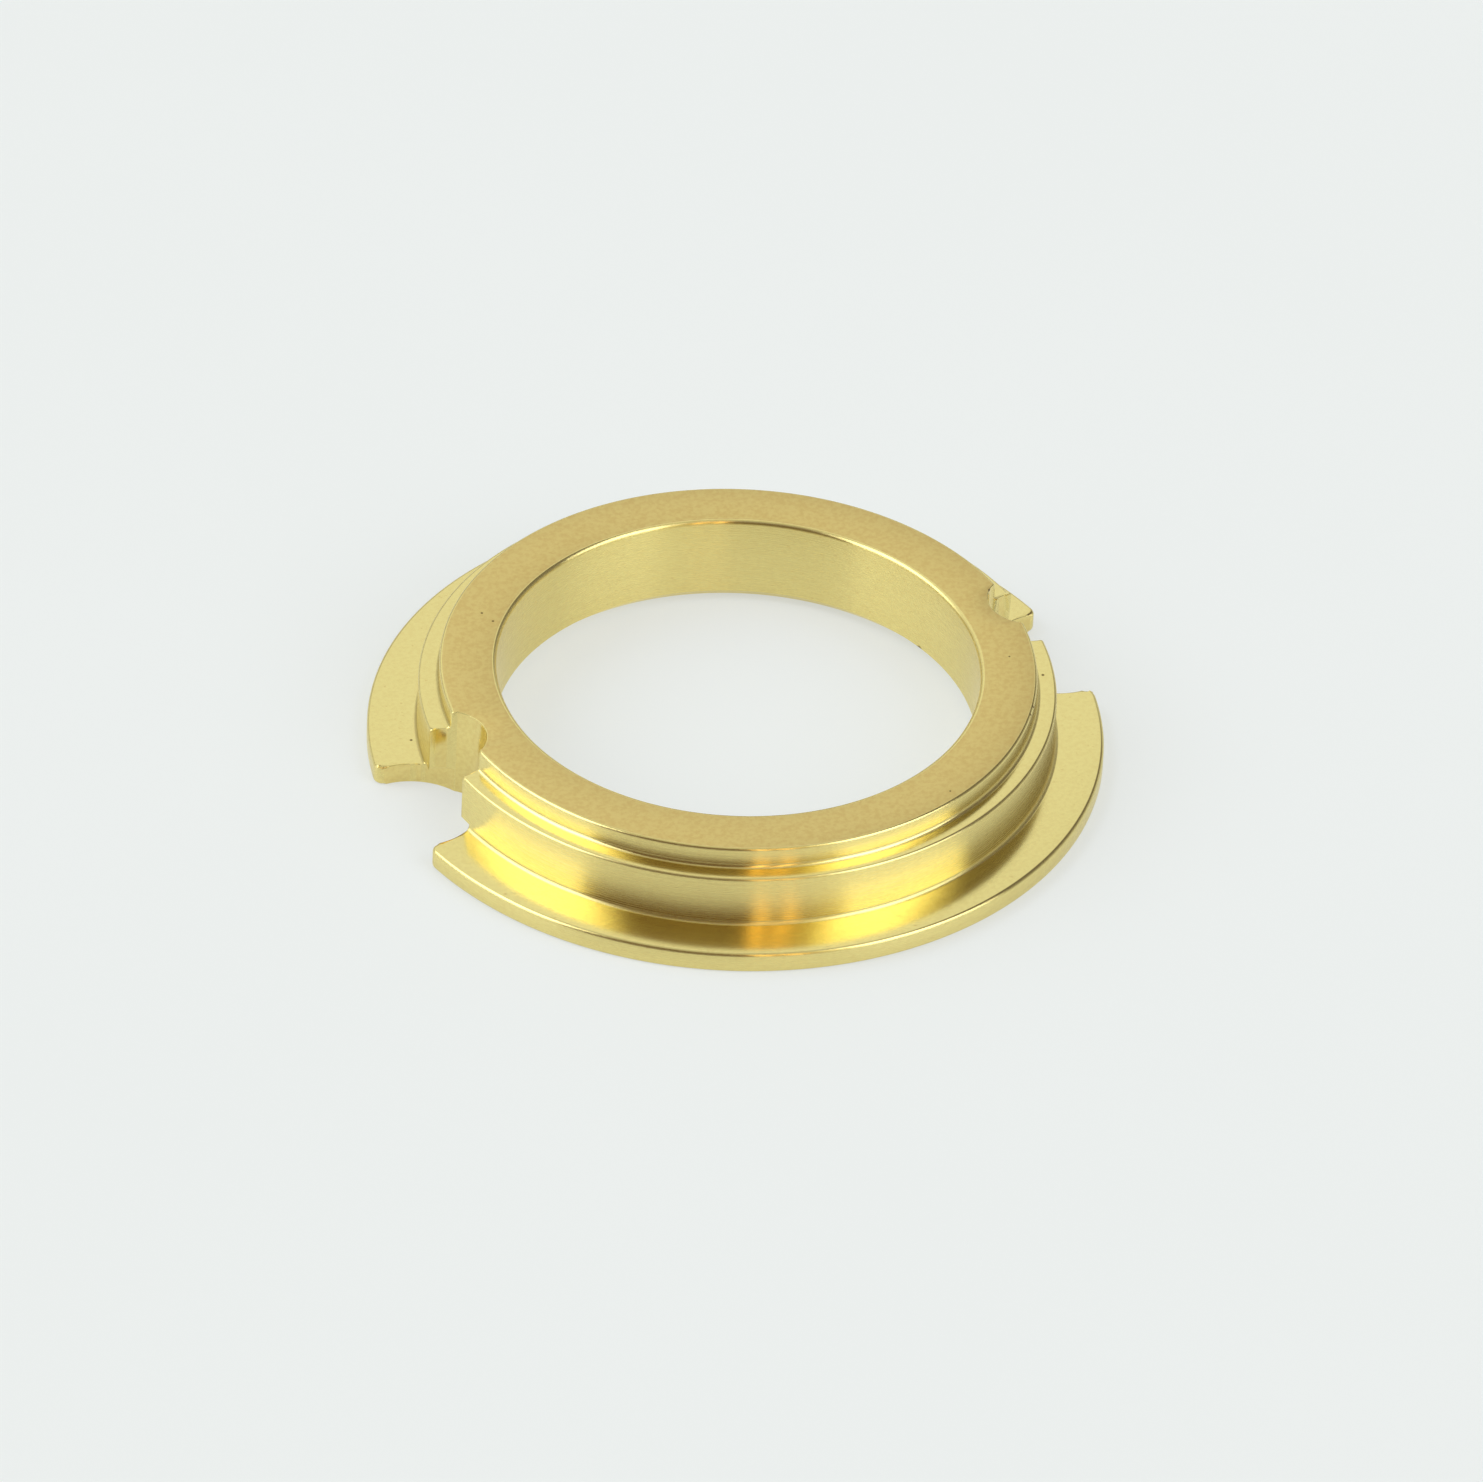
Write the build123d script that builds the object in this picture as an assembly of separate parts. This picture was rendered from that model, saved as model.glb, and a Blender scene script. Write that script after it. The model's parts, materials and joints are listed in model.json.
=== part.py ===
from build123d import *
import os

# A thin-flanged ring, turned from bar. It stands on its flange: the underside of the flange is z = 0,
# the bore runs up +Z, and the two milled notches lie on +X and -X. All sizes are in millimetres.

# Turned sizes, from the bore outwards
BORE_DIAMETER = 13.1
WALL = 1.55                    # land wall, bore to land
LEDGE_WIDTH = 0.55             # flat step outside the land
FLANGE_WIDTH = 1.35            # how far the flange stands out past the neck

# Turned sizes, from the underside upwards
FLANGE_THICKNESS = 0.6
NECK_LENGTH = 1.5              # top of the flange to the ledge
LAND_LENGTH = 0.6              # ledge to the top face

# Turned edges and corners
MOUTH_CHAMFER = 0.12           # bore, top edge
FOOT_CHAMFER = 0.35            # bore, bottom edge: a lead-in for the mating spigot
EDGE_BREAK = 0.08              # land and neck, outer edges
RIM_BREAK = 0.1                # flange rim, both edges
ROOT_RADIUS = 0.12             # inside corners, left by the tool nose

# Milled notches: a round-ended notch through the neck, and a wider cut through the flange alone
NOTCH_COUNT = 2
NOTCH_CUTTER_DIAMETER = 2.2
NOTCH_DEPTH = 1.15             # into the neck, from its outside
GAP_CUTTER_DIAMETER = 3.6
GAP_REACH = 0.95               # of the flange cut under the neck, from the neck's outside
GAP_CLEARANCE = 0.03           # the wide cut's top over the root radius
GAP_CORNER_RADIUS = 0.25       # flange corners either side of the cut

bore_radius = BORE_DIAMETER / 2
land_radius = bore_radius + WALL
neck_radius = land_radius + LEDGE_WIDTH
flange_radius = neck_radius + FLANGE_WIDTH
ledge_height = FLANGE_THICKNESS + NECK_LENGTH
height = ledge_height + LAND_LENGTH

SAME_PLACE = 1e-4              # corners closer than this are one corner


def corners_near(sketch, points):
    """The sketch's corners that lie on the given points."""
    places = [Vector(*point) for point in points]

    def is_wanted(corner):
        return any((corner.center() - place).length < SAME_PLACE for place in places)

    return sketch.vertices().filter_by(is_wanted)


def turned_profile():
    """Half section of the ring, X out from the axis and Y up it, with its chamfers and root radii."""
    foot = (bore_radius, 0)
    rim_bottom = (flange_radius, 0)
    rim_top = (flange_radius, FLANGE_THICKNESS)
    flange_root = (neck_radius, FLANGE_THICKNESS)
    neck_edge = (neck_radius, ledge_height)
    ledge_root = (land_radius, ledge_height)
    land_edge = (land_radius, height)
    mouth = (bore_radius, height)
    stand = [foot, rim_bottom, rim_top, flange_root]
    rise = [neck_edge, ledge_root, land_edge, mouth]
    profile = make_face(Polyline(*stand, *rise, close=True))
    profile = chamfer(corners_near(profile, [foot]), FOOT_CHAMFER)
    profile = chamfer(corners_near(profile, [mouth]), MOUTH_CHAMFER)
    profile = chamfer(corners_near(profile, [rim_bottom, rim_top]), RIM_BREAK)
    profile = chamfer(corners_near(profile, [neck_edge, land_edge]), EDGE_BREAK)
    return fillet(corners_near(profile, [flange_root, ledge_root]), ROOT_RADIUS)


def on_notch_axes(diameter, reach):
    """Circles on each notch's axis that reach that far inside the neck's outside."""
    radius = diameter / 2
    return PolarLocations(neck_radius - reach + radius, NOTCH_COUNT) * Circle(radius)


def flange_gaps():
    """What the wide cutter takes out of the flange and its root, with the rim's corners rounded beside it."""
    outside = Circle(flange_radius + GAP_CUTTER_DIAMETER) - Circle(flange_radius)
    cut = Sketch() + outside + on_notch_axes(GAP_CUTTER_DIAMETER, GAP_REACH)

    def is_on_rim(corner):
        beside_gap = abs(corner.Y) > SAME_PLACE
        return beside_gap and abs(corner.center().length - flange_radius) < SAME_PLACE

    plan = fillet(cut.vertices().filter_by(is_on_rim), GAP_CORNER_RADIUS)
    return extrude(plan, FLANGE_THICKNESS + ROOT_RADIUS + GAP_CLEARANCE)


def flanged_ring():
    ring = revolve(Plane.XZ * turned_profile(), Axis.Z)
    ring -= flange_gaps()
    ring -= extrude(Sketch() + on_notch_axes(NOTCH_CUTTER_DIAMETER, NOTCH_DEPTH), height)
    return ring


os.makedirs("parts", exist_ok=True)
export_step(flanged_ring(), "parts/flanged_ring.step")
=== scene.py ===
import json
import math
from typing import NamedTuple

import bmesh
import bpy
from mathutils import Matrix, Vector


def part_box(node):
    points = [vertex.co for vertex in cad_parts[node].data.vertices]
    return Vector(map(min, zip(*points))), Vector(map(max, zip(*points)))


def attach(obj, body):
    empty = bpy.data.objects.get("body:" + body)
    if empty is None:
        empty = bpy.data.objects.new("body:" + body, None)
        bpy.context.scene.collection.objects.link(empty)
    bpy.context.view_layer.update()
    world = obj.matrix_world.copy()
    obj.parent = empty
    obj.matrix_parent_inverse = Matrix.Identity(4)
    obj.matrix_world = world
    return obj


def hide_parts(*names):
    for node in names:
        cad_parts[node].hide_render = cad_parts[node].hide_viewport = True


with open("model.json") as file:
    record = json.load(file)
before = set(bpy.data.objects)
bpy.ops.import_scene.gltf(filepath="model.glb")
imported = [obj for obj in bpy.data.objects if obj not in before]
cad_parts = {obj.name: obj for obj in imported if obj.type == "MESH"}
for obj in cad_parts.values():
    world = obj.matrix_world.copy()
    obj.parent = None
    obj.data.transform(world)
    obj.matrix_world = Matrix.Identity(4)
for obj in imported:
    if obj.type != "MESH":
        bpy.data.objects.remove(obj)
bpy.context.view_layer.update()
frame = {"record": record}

bl_info = {
    "name": "Turned Flange Ring",
    "version": (1, 0, 0),
    "blender": (4, 5, 0),
    "location": "View3D > Sidebar > Flange Ring",
    "description": "Builds a turned brass ring with a thin flange and two milled notches, and its stage",
    "category": "Object",
}

NODE = "flanged_ring"
MM = 0.001
MOUNTS = {mount["name"]: mount for mount in frame["record"]["mounts"]}
FLANGE_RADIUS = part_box(NODE)[1].y
FLANGE_TOP = MOUNTS["flange_seat"]["pos_m"][2]
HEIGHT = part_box(NODE)[1].z


# --- Sizes and colours -------------------------------------------------------------------------


def length(label, description, millimetres):
    return bpy.props.FloatProperty(
        name=label, description=description, default=millimetres * MM, min=0, unit="LENGTH", precision=5
    )


def angle(label, description, degrees):
    return bpy.props.FloatProperty(
        name=label, description=description, default=math.radians(degrees), subtype="ANGLE"
    )


def colour(label, description, value):
    return bpy.props.FloatVectorProperty(
        name=label, description=description, default=value, size=3, min=0, soft_max=1, subtype="COLOR"
    )


def share(label, description, value):
    return bpy.props.FloatProperty(
        name=label, description=description, default=value, min=0, max=1, subtype="FACTOR"
    )


class RingSizes(bpy.types.PropertyGroup):
    bore_radius: length("Bore radius", "Plain bore", MOUNTS["bore"]["dims"]["r_mm"])
    neck_radius: length("Neck radius", "Outside of the neck", MOUNTS["neck"]["dims"]["r_mm"])
    flange_radius: length("Flange radius", "Rim of the flange", FLANGE_RADIUS / MM)
    land_radius: length("Land radius", "Outside of the top land", 8.1)
    flange_top: length("Flange top", "Height of the flange's upper face", FLANGE_TOP / MM)
    ledge_top: length("Ledge top", "Height of the ledge outside the land", 2.1)
    height: length("Height", "Top face above the underside", HEIGHT / MM)
    mouth_chamfer: length("Mouth chamfer", "Bore's upper edge", 0.12)
    foot_chamfer: length("Foot chamfer", "Bore's lower edge", 0.35)
    edge_break: length("Edge break", "Land and neck, outer edges", 0.08)
    rim_break: length("Rim break", "Both edges of the flange's rim", 0.1)
    root_radius: length("Root radius", "Inside corners left by the tool nose", 0.12)
    notch_radius: length("Notch radius", "Cutter that mills the notches", 1.1)
    notch_depth: length("Notch depth", "Into the neck from its outside", 1.15)
    gap_radius: length("Gap radius", "Wider cutter that opens the flange", 1.8)
    gap_reach: length("Gap reach", "Of the wider cut under the neck", 0.95)
    gap_clearance: length("Gap clearance", "Top of the wider cut over the root radius", 0.03)
    gap_corner: length("Gap corner", "Length taken off the flange's corners beside each gap", 0.36)
    milled_edge: length("Milled edge", "Tiny rounding of the milled edges", 0.025)
    segments: bpy.props.IntProperty(
        name="Segments", description="Facets round the ring", default=720, min=64, max=1024
    )


class BrassFinish(bpy.types.PropertyGroup):
    brass: colour("Brass", "Freshly cut brass", (0.87, 0.745, 0.30))
    dull: colour("Dull brass", "Where the cut has dulled", (0.73, 0.535, 0.19))
    # also the colour of the painted shade on the bore's lower chamfer
    stain_and_shade: colour("Stain", "Dark specks and stains", (0.20, 0.13, 0.04))
    wall_roughness: share("Wall roughness", "Turned walls", 0.24)
    flat_roughness: share("Flat roughness", "Turned flats: the flange and the ledge", 0.14)
    faced_roughness: share("Faced roughness", "Matt top face", 0.42)
    milled_roughness: share("Milled roughness", "Walls of the notches and gaps", 0.18)


class StageSet(bpy.types.PropertyGroup):
    floor: colour("Floor", "Pale table top, and what lies beyond it", (0.831, 0.864, 0.855))
    bearing: angle("Bearing", "Where the camera stands round the ring", -25.3)
    elevation: angle("Elevation", "Of the camera above the table", 37.3)
    roll: angle("Roll", "Of the camera about its own line of sight", 2.67)
    distance: length("Distance", "From the camera to the ring", 600)
    lens: bpy.props.FloatProperty(
        name="Lens", description="Focal length in millimetres", default=537.1, min=1
    )
    aim_side: length("Aim side", "Aim to the right of the ring's axis", 0.173)
    aim_height: length("Aim height", "Aim above the underside", 0.179)


# Facets across each rounding and chamfer, and round each cutter
ROOT_STEPS = 5
GAP_CORNER_STEPS = 10
RIM_STEPS = 3
BREAK_STEPS = 3
MOUTH_STEPS = 4
FOOT_STEPS = 1
MILLED_STEPS = 2
CUTTER_FACETS = 192

# Lengths in metres that tell apart what the cuts leave side by side
NEAR = 2e-7         # between a vertex and the place where it was made
OFF_ARC = 8e-7      # between a gap's arc and the middle of the first facet of its rounded corner
DOUBLED = 1e-6      # between vertices that the gaps' cut leaves in one place
ON_CUTTER = 4e-6    # between a vertex of a milled wall and its cutter's circle
LEFTOVER = 8e-6     # edges that the notches' cut leaves where facets nearly meet

ASKEW = (0.031, 0.017, 0.011)   # a place in metres from which no two neighbours lie equally far

# Angles in radians between an edge's two faces
FLAT = 0.06         # less than this is a seam between facets
SHARP = 0.6         # more than this is an edge of the part
SMOOTH_UNDER = math.radians(35)

ROUND_ABOUT = 1.1   # how far round a gap's corner its edges are looked for, in lengths of its rounding

# Burrs left by the end mill, in millimetres: place (x, y, z), reach round it, and pull (x, y, z)
BURRS = (
    (-8.00, 0.93, 2.68, 0.09, -0.03, -0.05, 0.0),
    (-8.52, 1.09, 2.09, 0.09, -0.02, -0.05, 0.04),
    (-9.80, 1.90, 0.58, 0.12, -0.01, -0.04, 0.03),
    (-8.80, 1.66, 0.60, 0.06, 0.0, -0.03, 0.03),
    (-8.50, 1.53, 0.61, 0.06, 0.0, -0.04, 0.02),
    (8.52, 1.09, 2.09, 0.09, 0.04, -0.05, 0.03),
    (8.15, 0.98, 2.10, 0.06, 0.02, -0.04, 0.03),
    (9.75, -1.90, 0.58, 0.08, 0.01, 0.03, 0.02),
)
# Dark specks and small stains from handling, and one painted shade at the bore's foot, in millimetres: x, y,
# z and radius
SPECKS_AND_SHADE = (
    (7.91, -2.57, 2.10, 0.055),
    (-8.43, 2.66, 0.60, 0.05),
    (-5.55, 4.69, 2.70, 0.045),
    (-5.41, 4.25, 2.70, 0.045),
    # painted shade: a dark patch on the bore's lower chamfer, where shade falls under the ring's foot
    (6.32, 1.84, 0.30, 0.14),
    (7.79, 0.72, 2.70, 0.07),
    (6.77, -4.46, 2.68, 0.07),
    (6.55, -4.76, 2.68, 0.05),
    (3.10, -7.10, 2.70, 0.035),
    (7.05, -2.20, 2.70, 0.035),
)


# --- Modelling helpers -------------------------------------------------------------------------


def deselect_all():
    if bpy.context.object and bpy.context.object.mode != "OBJECT":
        bpy.ops.object.mode_set(mode="OBJECT")
    bpy.ops.object.select_all(action="DESELECT")


def select_only(piece):
    deselect_all()
    piece.select_set(True)
    bpy.context.view_layer.objects.active = piece


def radius_of(point):
    return math.hypot(point.x, point.y)


def is_flat(edge):
    return len(edge.link_faces) == 2 and edge.calc_face_angle(0) < FLAT


def is_sharp(edge):
    return len(edge.link_faces) == 2 and edge.calc_face_angle(0) > SHARP


def select_edges(ring, wanted):
    """Selects in edit mode the edges that pass the test, and raises an error where none does."""
    mesh = bmesh.from_edit_mesh(ring.data)
    bpy.ops.mesh.select_all(action="DESELECT")
    bpy.ops.mesh.select_mode(type="EDGE")
    chosen = [edge for edge in mesh.edges if wanted(edge)]
    for edge in chosen:
        edge.select_set(True)
    bmesh.update_edit_mesh(ring.data)
    if not chosen:
        raise RuntimeError("no edge lies where one was expected")


def dissolve(ring, wanted):
    select_edges(ring, wanted)
    bpy.ops.mesh.dissolve_edges(use_verts=True)


def bevel(ring, wanted, width, steps):
    select_edges(ring, wanted)
    bpy.ops.mesh.bevel(
        offset_type="OFFSET", offset=width, segments=steps, affect="EDGES", clamp_overlap=False
    )


def bevel_loop(ring, radius, height, width, steps):
    """Bevels the whole circle of edges at that radius and height."""

    def on_circle(edge):
        return all(abs(radius_of(v.co) - radius) < NEAR and abs(v.co.z - height) < NEAR for v in edge.verts)

    bevel(ring, on_circle, width, steps)


def turn_profile(corners, segments):
    """Turns a closed section by extruding one loop from corner to corner, each a radius and a height."""
    (radius, height), *others = corners
    bpy.ops.mesh.primitive_circle_add(vertices=segments, radius=radius, location=(0, 0, 0))
    ring = bpy.context.object
    bpy.ops.object.mode_set(mode="EDIT")
    bpy.ops.mesh.select_all(action="SELECT")
    for next_radius, next_height in [*others, corners[0]]:
        scale = next_radius / radius
        bpy.ops.mesh.extrude_edges_move()
        bpy.ops.transform.resize(value=(scale, scale, 1), center_override=(0, 0, height))
        bpy.ops.transform.translate(value=(0, 0, next_height - height))
        radius, height = next_radius, next_height
    bpy.ops.mesh.select_all(action="SELECT")
    bpy.ops.mesh.remove_doubles(threshold=NEAR)
    bpy.ops.mesh.normals_make_consistent(inside=False)
    return ring


def settle_order():
    """Sorts the vertices, which a boolean leaves in another order each time, so that they merge alike."""
    cursor = bpy.context.scene.cursor
    cursor.location = ASKEW
    bpy.ops.mesh.sort_elements(type="CURSOR_DISTANCE", elements={"VERT"})
    cursor.location = (0, 0, 0)


class Cutter(NamedTuple):
    """An end mill brought down on both notches' axes, with its middle that far from the bore's axis."""

    middle: float
    radius: float

    def off(self, point):
        """How far a point lies outside the nearer of the two cuts, seen from above."""
        return math.hypot(abs(point.x) - self.middle, point.y) - self.radius

    def touches(self, point):
        return abs(self.off(point)) < ON_CUTTER

    def pair(self, bottom, top):
        """Both places of the end mill, as one object of two upright cylinders."""
        deselect_all()
        made = []
        for side in (1, -1):
            bpy.ops.mesh.primitive_cylinder_add(
                vertices=CUTTER_FACETS, radius=self.radius, depth=top - bottom,
                location=(side * self.middle, 0, (top + bottom) / 2),
            )
            made.append(bpy.context.object)
        for cylinder in made:
            cylinder.select_set(True)
        bpy.ops.object.join()
        return bpy.context.object

    def mill(self, ring, bottom, top, merge):
        """Takes the pair out of the ring, merges vertices nearer than that, and stays in edit mode."""
        cylinders = self.pair(bottom, top)
        select_only(ring)
        boolean = ring.modifiers.new("cut", "BOOLEAN")
        boolean.operation = "DIFFERENCE"
        boolean.solver = "EXACT"
        boolean.object = cylinders
        bpy.ops.object.modifier_apply(modifier=boolean.name)
        bpy.data.objects.remove(cylinders)
        bpy.ops.object.mode_set(mode="EDIT")
        bpy.ops.mesh.select_all(action="SELECT")
        settle_order()
        bpy.ops.mesh.remove_doubles(threshold=merge)


# --- The ring ----------------------------------------------------------------------------------


def notch_cutter(s):
    return Cutter(s.neck_radius - s.notch_depth + s.notch_radius, s.notch_radius)


def gap_cutter(s):
    return Cutter(s.neck_radius - s.gap_reach + s.gap_radius, s.gap_radius)


def gap_top(s):
    return s.flange_top + s.root_radius + s.gap_clearance


def turn_blank(s):
    """The turned section with its two root radii; its outside edges are still sharp."""
    deselect_all()
    ring = turn_profile(
        [
            (s.bore_radius, 0),
            (s.flange_radius, 0),
            (s.flange_radius, s.flange_top),
            (s.neck_radius, s.flange_top),
            (s.neck_radius, s.ledge_top),
            (s.land_radius, s.ledge_top),
            (s.land_radius, s.height),
            (s.bore_radius, s.height),
        ],
        s.segments,
    )
    bevel_loop(ring, s.neck_radius, s.flange_top, s.root_radius, ROOT_STEPS)
    bevel_loop(ring, s.land_radius, s.ledge_top, s.root_radius, ROOT_STEPS)
    return ring


def open_gaps(ring, s):
    """Cuts the flange away below both notches and rounds the corners that this leaves on its rim."""
    gap = gap_cutter(s)
    gap.mill(ring, -s.height, gap_top(s), DOUBLED)
    corner_x = (s.flange_radius**2 + gap.middle**2 - gap.radius**2) / (2 * gap.middle)
    corner_y = math.sqrt(s.flange_radius**2 - corner_x**2)

    def from_corner(point):
        """How far a point lies from the nearest of the four corners, seen from above."""
        return math.hypot(abs(point.x) - corner_x, abs(point.y) - corner_y)

    def in_flange(edge):
        return max(v.co.z for v in edge.verts) < s.flange_top + NEAR

    def seam_near_corner(edge):
        near = min(from_corner(v.co) for v in edge.verts) < s.gap_corner * ROUND_ABOUT
        return near and in_flange(edge) and is_flat(edge)

    def corner(edge):
        upright = (edge.verts[0].co.xy - edge.verts[1].co.xy).length < NEAR
        return upright and in_flange(edge) and from_corner(edge.verts[0].co) < ON_CUTTER

    dissolve(ring, seam_near_corner)
    bevel(ring, corner, s.gap_corner, GAP_CORNER_STEPS)


def break_turned_edges(ring, s):
    """Breaks the flange's rim between the gaps, then the neck, the land and both ends of the bore."""
    gap = gap_cutter(s)

    def on_rim(edge):
        level = any(all(abs(v.co.z - height) < NEAR for v in edge.verts) for height in (0, s.flange_top))
        middle = (edge.verts[0].co + edge.verts[1].co) / 2
        outside = radius_of(middle) > s.flange_radius - s.gap_corner * ROUND_ABOUT
        return level and outside and gap.off(middle) > OFF_ARC and is_sharp(edge)

    bevel(ring, on_rim, s.rim_break, RIM_STEPS)
    bevel_loop(ring, s.neck_radius, s.ledge_top, s.edge_break, BREAK_STEPS)
    bevel_loop(ring, s.land_radius, s.height, s.edge_break, BREAK_STEPS)
    bevel_loop(ring, s.bore_radius, s.height, s.mouth_chamfer, MOUTH_STEPS)
    bevel_loop(ring, s.bore_radius, 0, s.foot_chamfer, FOOT_STEPS)


def mill_notches(ring, s):
    """Cuts both notches right through and gives every milled edge its tiny rounding."""
    notch, gap = notch_cutter(s), gap_cutter(s)
    notch.mill(ring, -s.height, s.height * 2, LEFTOVER)
    outsides = [radius - inset for radius in (s.land_radius, s.neck_radius) for inset in (0, s.edge_break)]

    def near_corner(point):
        """Whether a point stands close to where the notch leaves the land or the neck, seen from above."""
        off_turned = min(abs(radius_of(point) - outside) for outside in outsides)
        return max(abs(notch.off(point)), off_turned) < s.milled_edge * 2

    def seam_near_corner(edge):
        return any(near_corner(v.co) for v in edge.verts) and is_flat(edge)

    def milled(edge):
        if not (edge.is_convex and is_sharp(edge)):
            return False
        in_gap = all(gap.touches(v.co) and v.co.z < gap_top(s) + NEAR for v in edge.verts)
        return in_gap or all(notch.touches(v.co) for v in edge.verts)

    dissolve(ring, seam_near_corner)
    bevel(ring, milled, s.milled_edge, MILLED_STEPS)


def raise_burrs(ring):
    """Pulls the metal near each place out a little, as the end mill left it."""
    mesh = bmesh.from_edit_mesh(ring.data)
    bpy.ops.mesh.select_mode(type="VERT")
    for x, y, z, reach, *pull in BURRS:
        place = Vector((x, y, z)) * MM
        bpy.ops.mesh.select_all(action="DESELECT")
        for point in mesh.verts:
            point.select_set((point.co - place).length < reach * MM)
        bmesh.update_edit_mesh(ring.data)
        bpy.ops.transform.translate(value=Vector(pull) * MM)


def smooth_ring(ring):
    select_only(ring)
    bpy.ops.object.shade_smooth_by_angle(angle=SMOOTH_UNDER)
    weigh = ring.modifiers.new("weigh", "WEIGHTED_NORMAL")
    weigh.keep_sharp = True
    weigh.weight = 100      # the widest faces decide, so the flats stay flat beside the roundings
    bpy.ops.object.modifier_apply(modifier=weigh.name)


# --- Materials ---------------------------------------------------------------------------------


class Surface(NamedTuple):
    """How one way of cutting leaves the brass. The two depths are in metres."""

    name: str
    roughness: str      # which of the finish's shares it has
    stretch: float      # of highlights, across the lay
    lay_depth: float
    grain_depth: float
    mottle: float       # how much the share of dull brass varies
    dullness: float     # the least share of dull brass


SURFACES = (
    Surface("turned_wall", "wall_roughness", 1.0, 1e-7, 0, 0.2, 0.0),
    Surface("turned_flat", "flat_roughness", 0.6, 1e-7, 0, 0.2, 0.0),
    Surface("faced_matt", "faced_roughness", 0.0, 5e-7, 3e-6, 0.35, 0.55),
    Surface("milled", "milled_roughness", 0.0, 0, 5e-7, 0.3, 0.25),
)
TURNED_WALL, TURNED_FLAT, FACED_MATT, MILLED = range(len(SURFACES))

# Upward shares of a face's normal
LEVEL = 0.9             # least, on a turned flat
FACED_LEVEL = 0.99      # least, on the matt top face, which its roundings aren't part of
UPRIGHT = 0.3           # most, on a milled wall

LAY_FINENESS = 60000.0
GRAIN_SCALE = 9000.0
BLOTCH_SCALE = 8000
PITS = (0.70, 0.78)             # noise at which a pit begins, and at which it is full
PIT_DULLNESS = 0.6
BLOTCHES = (0.35, 0.7)          # noise over which the dull brass grows from least to most
LAY_HEIGHTS = (0.3, 0.7)        # noise over which the lay's roughness grows from least to most
LAY_ROUGHNESS = (0.8, 1.25)     # least and most, in the surface's own roughness
MARK_CORE = 0.5                 # share of a mark's radius that is fully dark
QUARTER_TURN = 0.25             # highlights stretch across the lay, not along it


class Nodes:
    """Short calls for wiring a node tree."""

    def __init__(self, tree):
        self.tree = tree

    def add(self, kind, **values):
        node = self.tree.nodes.new(kind)
        for key, value in values.items():
            setattr(node, key, value)
        return node

    def link(self, source, target):
        self.tree.links.new(source, target)

    def feed(self, target, value):
        if isinstance(value, bpy.types.NodeSocket):
            self.link(value, target)
        else:
            target.default_value = value

    def math(self, operation, *values):
        node = self.add("ShaderNodeMath", operation=operation)
        for target, value in zip(node.inputs, values):
            self.feed(target, value)
        return node.outputs[0]

    def spread(self, value, low, high, to_low=0.0, to_high=1.0):
        """Takes a value from one range to another, easing in and out at its ends."""
        node = self.add("ShaderNodeMapRange", interpolation_type="SMOOTHSTEP")
        labels = ("Value", "From Min", "From Max", "To Min", "To Max")
        for label, given in zip(labels, (value, low, high, to_low, to_high)):
            self.feed(node.inputs[label], given)
        return node.outputs["Result"]

    def mix(self, factor, first, second):
        node = self.add("ShaderNodeMix", data_type="RGBA")
        for label, given in (("Factor", factor), ("A", first), ("B", second)):
            self.feed(node.inputs[label], given)
        return node.outputs["Result"]

    def object_place(self):
        return self.add("ShaderNodeTexCoord").outputs["Object"]

    def noise(self, place, scale, **values):
        node = self.add("ShaderNodeTexNoise")
        for label, given in (("Vector", place), ("Scale", scale), *values.items()):
            self.feed(node.inputs[label], given)
        return node.outputs[0]

    def bump(self, height, depth):
        node = self.add("ShaderNodeBump")
        node.inputs["Distance"].default_value = depth
        self.link(height, node.inputs["Height"])
        return node

    def group(self, tree, **values):
        """Places a node group; an input's name has underscores for its spaces."""
        node = self.add("ShaderNodeGroup", node_tree=tree)
        for label, value in values.items():
            self.feed(node.inputs[label.replace("_", " ")], value)
        return node


def group_tree(name, inputs, outputs):
    """A new node group whose inputs and outputs are all plain numbers."""
    tree = bpy.data.node_groups.new(name, "ShaderNodeTree")
    for label in inputs:
        tree.interface.new_socket(label, in_out="INPUT", socket_type="NodeSocketFloat")
    for label in outputs:
        tree.interface.new_socket(label, in_out="OUTPUT", socket_type="NodeSocketFloat")
    nodes = Nodes(tree)
    return nodes, nodes.add("NodeGroupInput").outputs, nodes.add("NodeGroupOutput").inputs


def turning_lay_group():
    """Rings left by the tool: a height that changes out from the axis on a flat and up the axis on a wall."""
    nodes, given, out = group_tree("turning_lay", ["Fineness"], ["Height"])
    place = nodes.add("ShaderNodeSeparateXYZ")
    nodes.link(nodes.object_place(), place.inputs[0])
    x, y, z = place.outputs
    squares = nodes.math("ADD", nodes.math("MULTIPLY", x, x), nodes.math("MULTIPLY", y, y))
    across_lay = nodes.math("ADD", nodes.math("SQRT", squares), z)
    rings = nodes.add("ShaderNodeTexNoise", noise_dimensions="1D")
    nodes.link(nodes.math("MULTIPLY", across_lay, given["Fineness"]), rings.inputs["W"])
    rings.inputs["Scale"].default_value = 1
    rings.inputs["Detail"].default_value = 4
    rings.inputs["Roughness"].default_value = 0.7
    nodes.link(rings.outputs[0], out["Height"])
    return nodes.tree


def grain_group():
    """Fine isotropic grain with sparse darker pits."""
    nodes, given, out = group_tree("cut_grain", ["Scale", "Pit Scale"], ["Grain", "Pits"])
    place = nodes.object_place()
    nodes.link(nodes.noise(place, given["Scale"], Detail=3), out["Grain"])
    nodes.link(nodes.spread(nodes.noise(place, given["Pit Scale"], Detail=1), *PITS), out["Pits"])
    return nodes.tree


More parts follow.
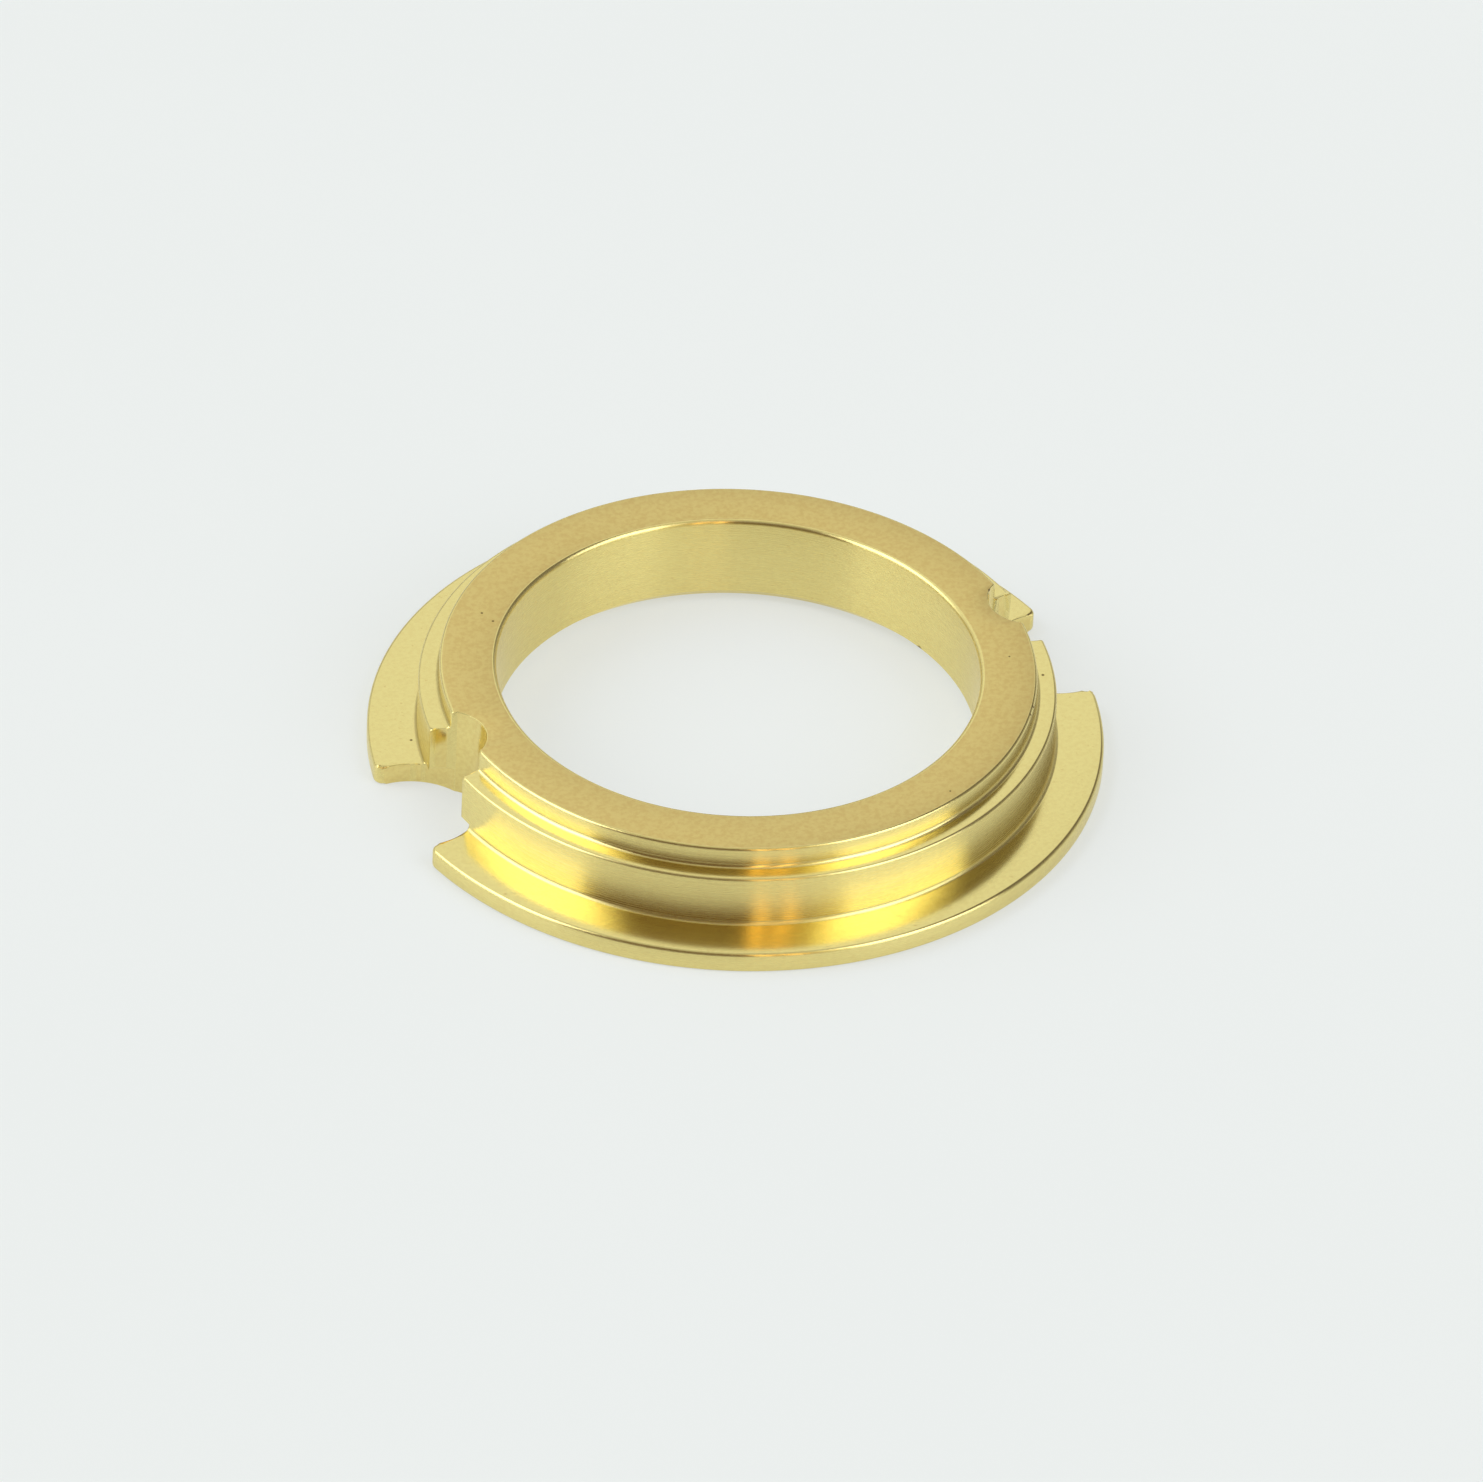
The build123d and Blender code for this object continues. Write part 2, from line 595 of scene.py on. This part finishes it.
def specks_and_shade_group():
    """A mask of the dark specks and stains, and of the painted shade at the bore's foot, each full inside its
    core and gone at its radius.
    """
    nodes, given, out = group_tree("specks_and_painted_shade", ["Core"], ["Mark"])
    place = nodes.object_place()
    mark = 0.0
    for *spot, radius in SPECKS_AND_SHADE:
        away = nodes.add("ShaderNodeVectorMath", operation="DISTANCE")
        nodes.link(place, away.inputs[0])
        away.inputs[1].default_value = Vector(spot) * MM
        core = nodes.math("MULTIPLY", given["Core"], radius * MM)
        mark = nodes.math("MAXIMUM", mark, nodes.spread(away.outputs["Value"], core, radius * MM, 1.0, 0.0))
    nodes.link(mark, out["Mark"])
    return nodes.tree


def brass_material(surface, finish, lay, grain, speck_and_shade_tree):
    material = bpy.data.materials.new(surface.name)
    material.use_nodes = True
    nodes = Nodes(material.node_tree)
    shader = material.node_tree.nodes["Principled BSDF"].inputs
    shader["Metallic"].default_value = 1

    rings = nodes.group(lay, Fineness=LAY_FINENESS).outputs["Height"]
    grains = nodes.group(grain, Scale=GRAIN_SCALE, Pit_Scale=GRAIN_SCALE).outputs
    blotch = nodes.noise(nodes.object_place(), BLOTCH_SCALE, Detail=5)
    patches = nodes.spread(blotch, *BLOTCHES, surface.dullness, surface.dullness + surface.mottle)
    pits = nodes.math("MULTIPLY", grains["Pits"], PIT_DULLNESS)
    clean = nodes.mix(nodes.math("MAXIMUM", patches, pits), (*finish.brass, 1), (*finish.dull, 1))
    # darkens the specks and stains, and paints shade on the bore's lower chamfer
    stained_and_shaded = nodes.group(speck_and_shade_tree, Core=MARK_CORE).outputs["Mark"]
    nodes.link(nodes.mix(stained_and_shaded, clean, (*finish.stain_and_shade, 1)), shader["Base Color"])

    least, most = (getattr(finish, surface.roughness) * part for part in LAY_ROUGHNESS)
    nodes.link(nodes.spread(rings, *LAY_HEIGHTS, least, most), shader["Roughness"])
    shader["Anisotropic"].default_value = surface.stretch
    shader["Anisotropic Rotation"].default_value = QUARTER_TURN
    around = nodes.add("ShaderNodeTangent", direction_type="RADIAL", axis="Z")
    nodes.link(around.outputs[0], shader["Tangent"])

    ring_bump = nodes.bump(rings, surface.lay_depth)
    grain_bump = nodes.bump(grains["Grain"], surface.grain_depth)
    nodes.link(ring_bump.outputs[0], grain_bump.inputs["Normal"])
    nodes.link(grain_bump.outputs[0], shader["Normal"])
    return material


def surface_kind(s, centre, normal):
    """Place in SURFACES of what covers a face."""
    if centre.z > s.height - NEAR and normal.z > FACED_LEVEL:
        return FACED_MATT
    if abs(normal.z) < UPRIGHT and (notch_cutter(s).touches(centre) or gap_cutter(s).touches(centre)):
        return MILLED
    return TURNED_FLAT if abs(normal.z) > LEVEL else TURNED_WALL


def dress_ring(ring, s, finish):
    shared = turning_lay_group(), grain_group(), specks_and_shade_group()
    ring.data.materials.clear()
    for surface in SURFACES:
        ring.data.materials.append(brass_material(surface, finish, *shared))
    for face in ring.data.polygons:
        face.material_index = surface_kind(s, face.center, face.normal)


class RING_OT_turned_ring(bpy.types.Operator):
    """Turn the ring, mill its notches and give it its brass finishes"""

    bl_idname = "flange_ring.turned_ring"
    bl_label = "Turned Ring"

    def execute(self, context):
        sizes = context.scene.ring_sizes
        ring = turn_blank(sizes)
        open_gaps(ring, sizes)
        break_turned_edges(ring, sizes)
        mill_notches(ring, sizes)
        raise_burrs(ring)
        ring.name = "turned_ring"
        smooth_ring(ring)
        dress_ring(ring, sizes, context.scene.brass_finish)
        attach(ring, "root")
        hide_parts(NODE)
        return {"FINISHED"}


# --- The stage ---------------------------------------------------------------------------------

# The room's colours
BOX = (2.9, 3.0, 3.15)
SHADE = (0.18, 0.16, 0.15)
WALL = (0.88, 0.90, 0.88)
CAMERA = (0.15, 0.10, 0.065)
WARM = (2.5, 1.65, 0.72)
DIM_WARM = (0.3, 0.2, 0.1)
CREAM = (0.9, 0.8, 0.5)
BRIGHT_CREAM = (1.0, 0.9, 0.6)
CEILING = (0.62, 0.61, 0.58)
SKIRTING = (0.5, 0.49, 0.46)

# What stands round the ring, by bearing in degrees anticlockwise from the camera's right: a shaded corner,
# pale walls, a soft box, the dark camera, two warm lamps beside it, a cream wall and another soft box
ROOM = (
    (0, SHADE), (62, SHADE),
    (76, WALL), (152, WALL),
    (161, BOX), (217, BOX),
    (224, CAMERA), (278, CAMERA),
    (280.5, WARM), (283.5, WARM),
    (285, DIM_WARM), (288.5, DIM_WARM),
    (290, WARM), (293, WARM),
    (295, DIM_WARM), (303, CREAM), (308, BRIGHT_CREAM),
    (313, BOX), (355, BOX),
    (359, SHADE),
)
# Degrees over which one thing gives way to the next, round the room or up from the floor
CAMERA_FROM = (217, 224)
CAMERA_TO = (276, 280)
CAMERA_TOP = (62, 74)
SKIRTING_TOP = (15, 23)
WALL_TOP = (58, 68)

TABLE_SIZE = 4              # metres
TABLE_ROUGHNESS = 0.7
TABLE_SHINE = 0.1
TABLE_CLOUD_SCALE = 60
TABLE_CLOUD = 0.985         # the faint clouds' share of the table's colour
TABLE_OWN_SHARE = 0.6       # how much of what shows is the table's own colour, whatever light falls on it

SENSOR_WIDTH = 36           # millimetres
CLIP_FROM, CLIP_TO = 0.01, 20       # in the camera's distance


def light_room(world, stage):
    """The room is what lights the ring; the camera sees the floor's colour beyond the table."""
    world.use_nodes = True
    tree = world.node_tree
    tree.nodes.clear()
    nodes = Nodes(tree)
    direction = nodes.add("ShaderNodeSeparateXYZ")
    nodes.link(nodes.add("ShaderNodeTexCoord").outputs["Generated"], direction.inputs[0])
    x, y, z = direction.outputs
    turned = nodes.math("SUBTRACT", nodes.math("ARCTAN2", y, x), stage.bearing)
    turns = nodes.math("DIVIDE", nodes.math("ADD", turned, 4 * math.pi), 2 * math.pi)
    share_round = nodes.math("FRACT", turns)
    ramp = nodes.add("ShaderNodeValToRGB")
    nodes.link(share_round, ramp.inputs[0])
    stops = ramp.color_ramp.elements
    (_, first), *others = ROOM
    stops[0].position, stops[1].position = 0, 1
    stops[0].color = stops[1].color = (*first, 1)
    for place, value in others:
        stops.new(place / 360).color = (*value, 1)

    height = nodes.math("ARCSINE", z)

    def up_from(degrees, *ends):
        return nodes.spread(height, *map(math.radians, degrees), *ends)

    walls = nodes.mix(up_from(SKIRTING_TOP), (*SKIRTING, 1), ramp.outputs[0])
    room = nodes.mix(up_from(WALL_TOP), walls, (*CEILING, 1))
    degrees_round = nodes.math("MULTIPLY", share_round, 360)
    past_start = nodes.spread(degrees_round, *CAMERA_FROM)
    before_end = nodes.spread(degrees_round, *CAMERA_TO, 1.0, 0.0)
    beside = nodes.math("MULTIPLY", past_start, before_end)
    in_camera = nodes.math("MULTIPLY", beside, up_from(CAMERA_TOP, 1.0, 0.0))
    room = nodes.mix(in_camera, room, (*CAMERA, 1))

    lit = nodes.add("ShaderNodeBackground")
    nodes.link(room, lit.inputs["Color"])
    seen = nodes.add("ShaderNodeBackground")
    seen.inputs["Color"].default_value = (*stage.floor, 1)
    choose = nodes.add("ShaderNodeMixShader")
    nodes.link(nodes.add("ShaderNodeLightPath").outputs["Is Camera Ray"], choose.inputs[0])
    nodes.link(lit.outputs[0], choose.inputs[1])
    nodes.link(seen.outputs[0], choose.inputs[2])
    nodes.link(choose.outputs[0], nodes.add("ShaderNodeOutputWorld").inputs["Surface"])


def table_material(value):
    """Pale table top that, to the eye and in the metal, is partly its own colour and partly lit."""
    material = bpy.data.materials.new("pale_table")
    material.use_nodes = True
    nodes = Nodes(material.node_tree)
    shader = material.node_tree.nodes["Principled BSDF"]
    shader.inputs["Roughness"].default_value = TABLE_ROUGHNESS
    shader.inputs["Specular IOR Level"].default_value = TABLE_SHINE
    cloud = nodes.noise(nodes.object_place(), TABLE_CLOUD_SCALE)
    tone = nodes.mix(cloud, (*[part * TABLE_CLOUD for part in value], 1), (*value, 1))
    nodes.link(tone, shader.inputs["Base Color"])
    own = nodes.add("ShaderNodeEmission")
    nodes.link(tone, own.inputs["Color"])
    path = nodes.add("ShaderNodeLightPath").outputs
    seen = nodes.math("MAXIMUM", path["Is Camera Ray"], path["Is Glossy Ray"])
    blend = nodes.add("ShaderNodeMixShader")
    nodes.link(nodes.math("MULTIPLY", seen, TABLE_OWN_SHARE), blend.inputs[0])
    nodes.link(shader.outputs[0], blend.inputs[1])
    nodes.link(own.outputs[0], blend.inputs[2])
    nodes.link(blend.outputs[0], material.node_tree.nodes["Material Output"].inputs["Surface"])
    return material


def stand_camera(stage):
    bearing, elevation = stage.bearing, stage.elevation
    right = Vector((math.cos(bearing), math.sin(bearing), 0))
    level = math.cos(elevation)
    back = Vector((math.sin(bearing) * level, -math.cos(bearing) * level, math.sin(elevation)))
    up = back.cross(right)
    aim = Vector((0, 0, stage.aim_height)) + right * stage.aim_side
    turn = Matrix((right, up, back)).transposed().to_4x4() @ Matrix.Rotation(stage.roll, 4, "Z")
    bpy.ops.object.camera_add()
    camera = bpy.context.object
    camera.matrix_world = Matrix.Translation(aim + back * stage.distance) @ turn
    camera.data.lens = stage.lens
    camera.data.sensor_width = SENSOR_WIDTH
    camera.data.clip_start = stage.distance * CLIP_FROM
    camera.data.clip_end = stage.distance * CLIP_TO
    bpy.context.scene.camera = camera


class RING_OT_stage(bpy.types.Operator):
    """Lay the pale table, light the room and stand the camera"""

    bl_idname = "flange_ring.stage"
    bl_label = "Stage"

    def execute(self, context):
        stage = context.scene.ring_stage
        deselect_all()
        bpy.ops.mesh.primitive_plane_add(size=TABLE_SIZE, location=(0, 0, 0))
        table = context.object
        table.name = "table"
        table.data.materials.append(table_material(stage.floor))
        light_room(context.scene.world, stage)
        stand_camera(stage)
        context.scene.view_settings.view_transform = "Standard"
        return {"FINISHED"}


class RING_PT_panel(bpy.types.Panel):
    bl_label = "Flange Ring"
    bl_idname = "RING_PT_panel"
    bl_space_type = "VIEW_3D"
    bl_region_type = "UI"
    bl_category = "Flange Ring"

    def draw(self, context):
        for group in (context.scene.ring_sizes, context.scene.brass_finish, context.scene.ring_stage):
            box = self.layout.box()
            for name in group.bl_rna.properties.keys():
                if name not in ("rna_type", "name"):
                    box.prop(group, name)
        for operator in OPERATORS:
            self.layout.operator(operator.bl_idname)


OPERATORS = (RING_OT_turned_ring, RING_OT_stage)
GROUPS = (("ring_sizes", RingSizes), ("brass_finish", BrassFinish), ("ring_stage", StageSet))


def register():
    for name, group in GROUPS:
        bpy.utils.register_class(group)
        setattr(bpy.types.Scene, name, bpy.props.PointerProperty(type=group))
    for cls in (*OPERATORS, RING_PT_panel):
        bpy.utils.register_class(cls)


def unregister():
    for cls in (RING_PT_panel, *OPERATORS):
        bpy.utils.unregister_class(cls)
    for name, group in GROUPS:
        delattr(bpy.types.Scene, name)
        bpy.utils.unregister_class(group)


def main():
    register()
    if bpy.context.scene.world is None:
        bpy.context.scene.world = bpy.data.worlds.new("room")
    bpy.ops.flange_ring.turned_ring()
    bpy.ops.flange_ring.stage()


if __name__ == "__main__":
    main()
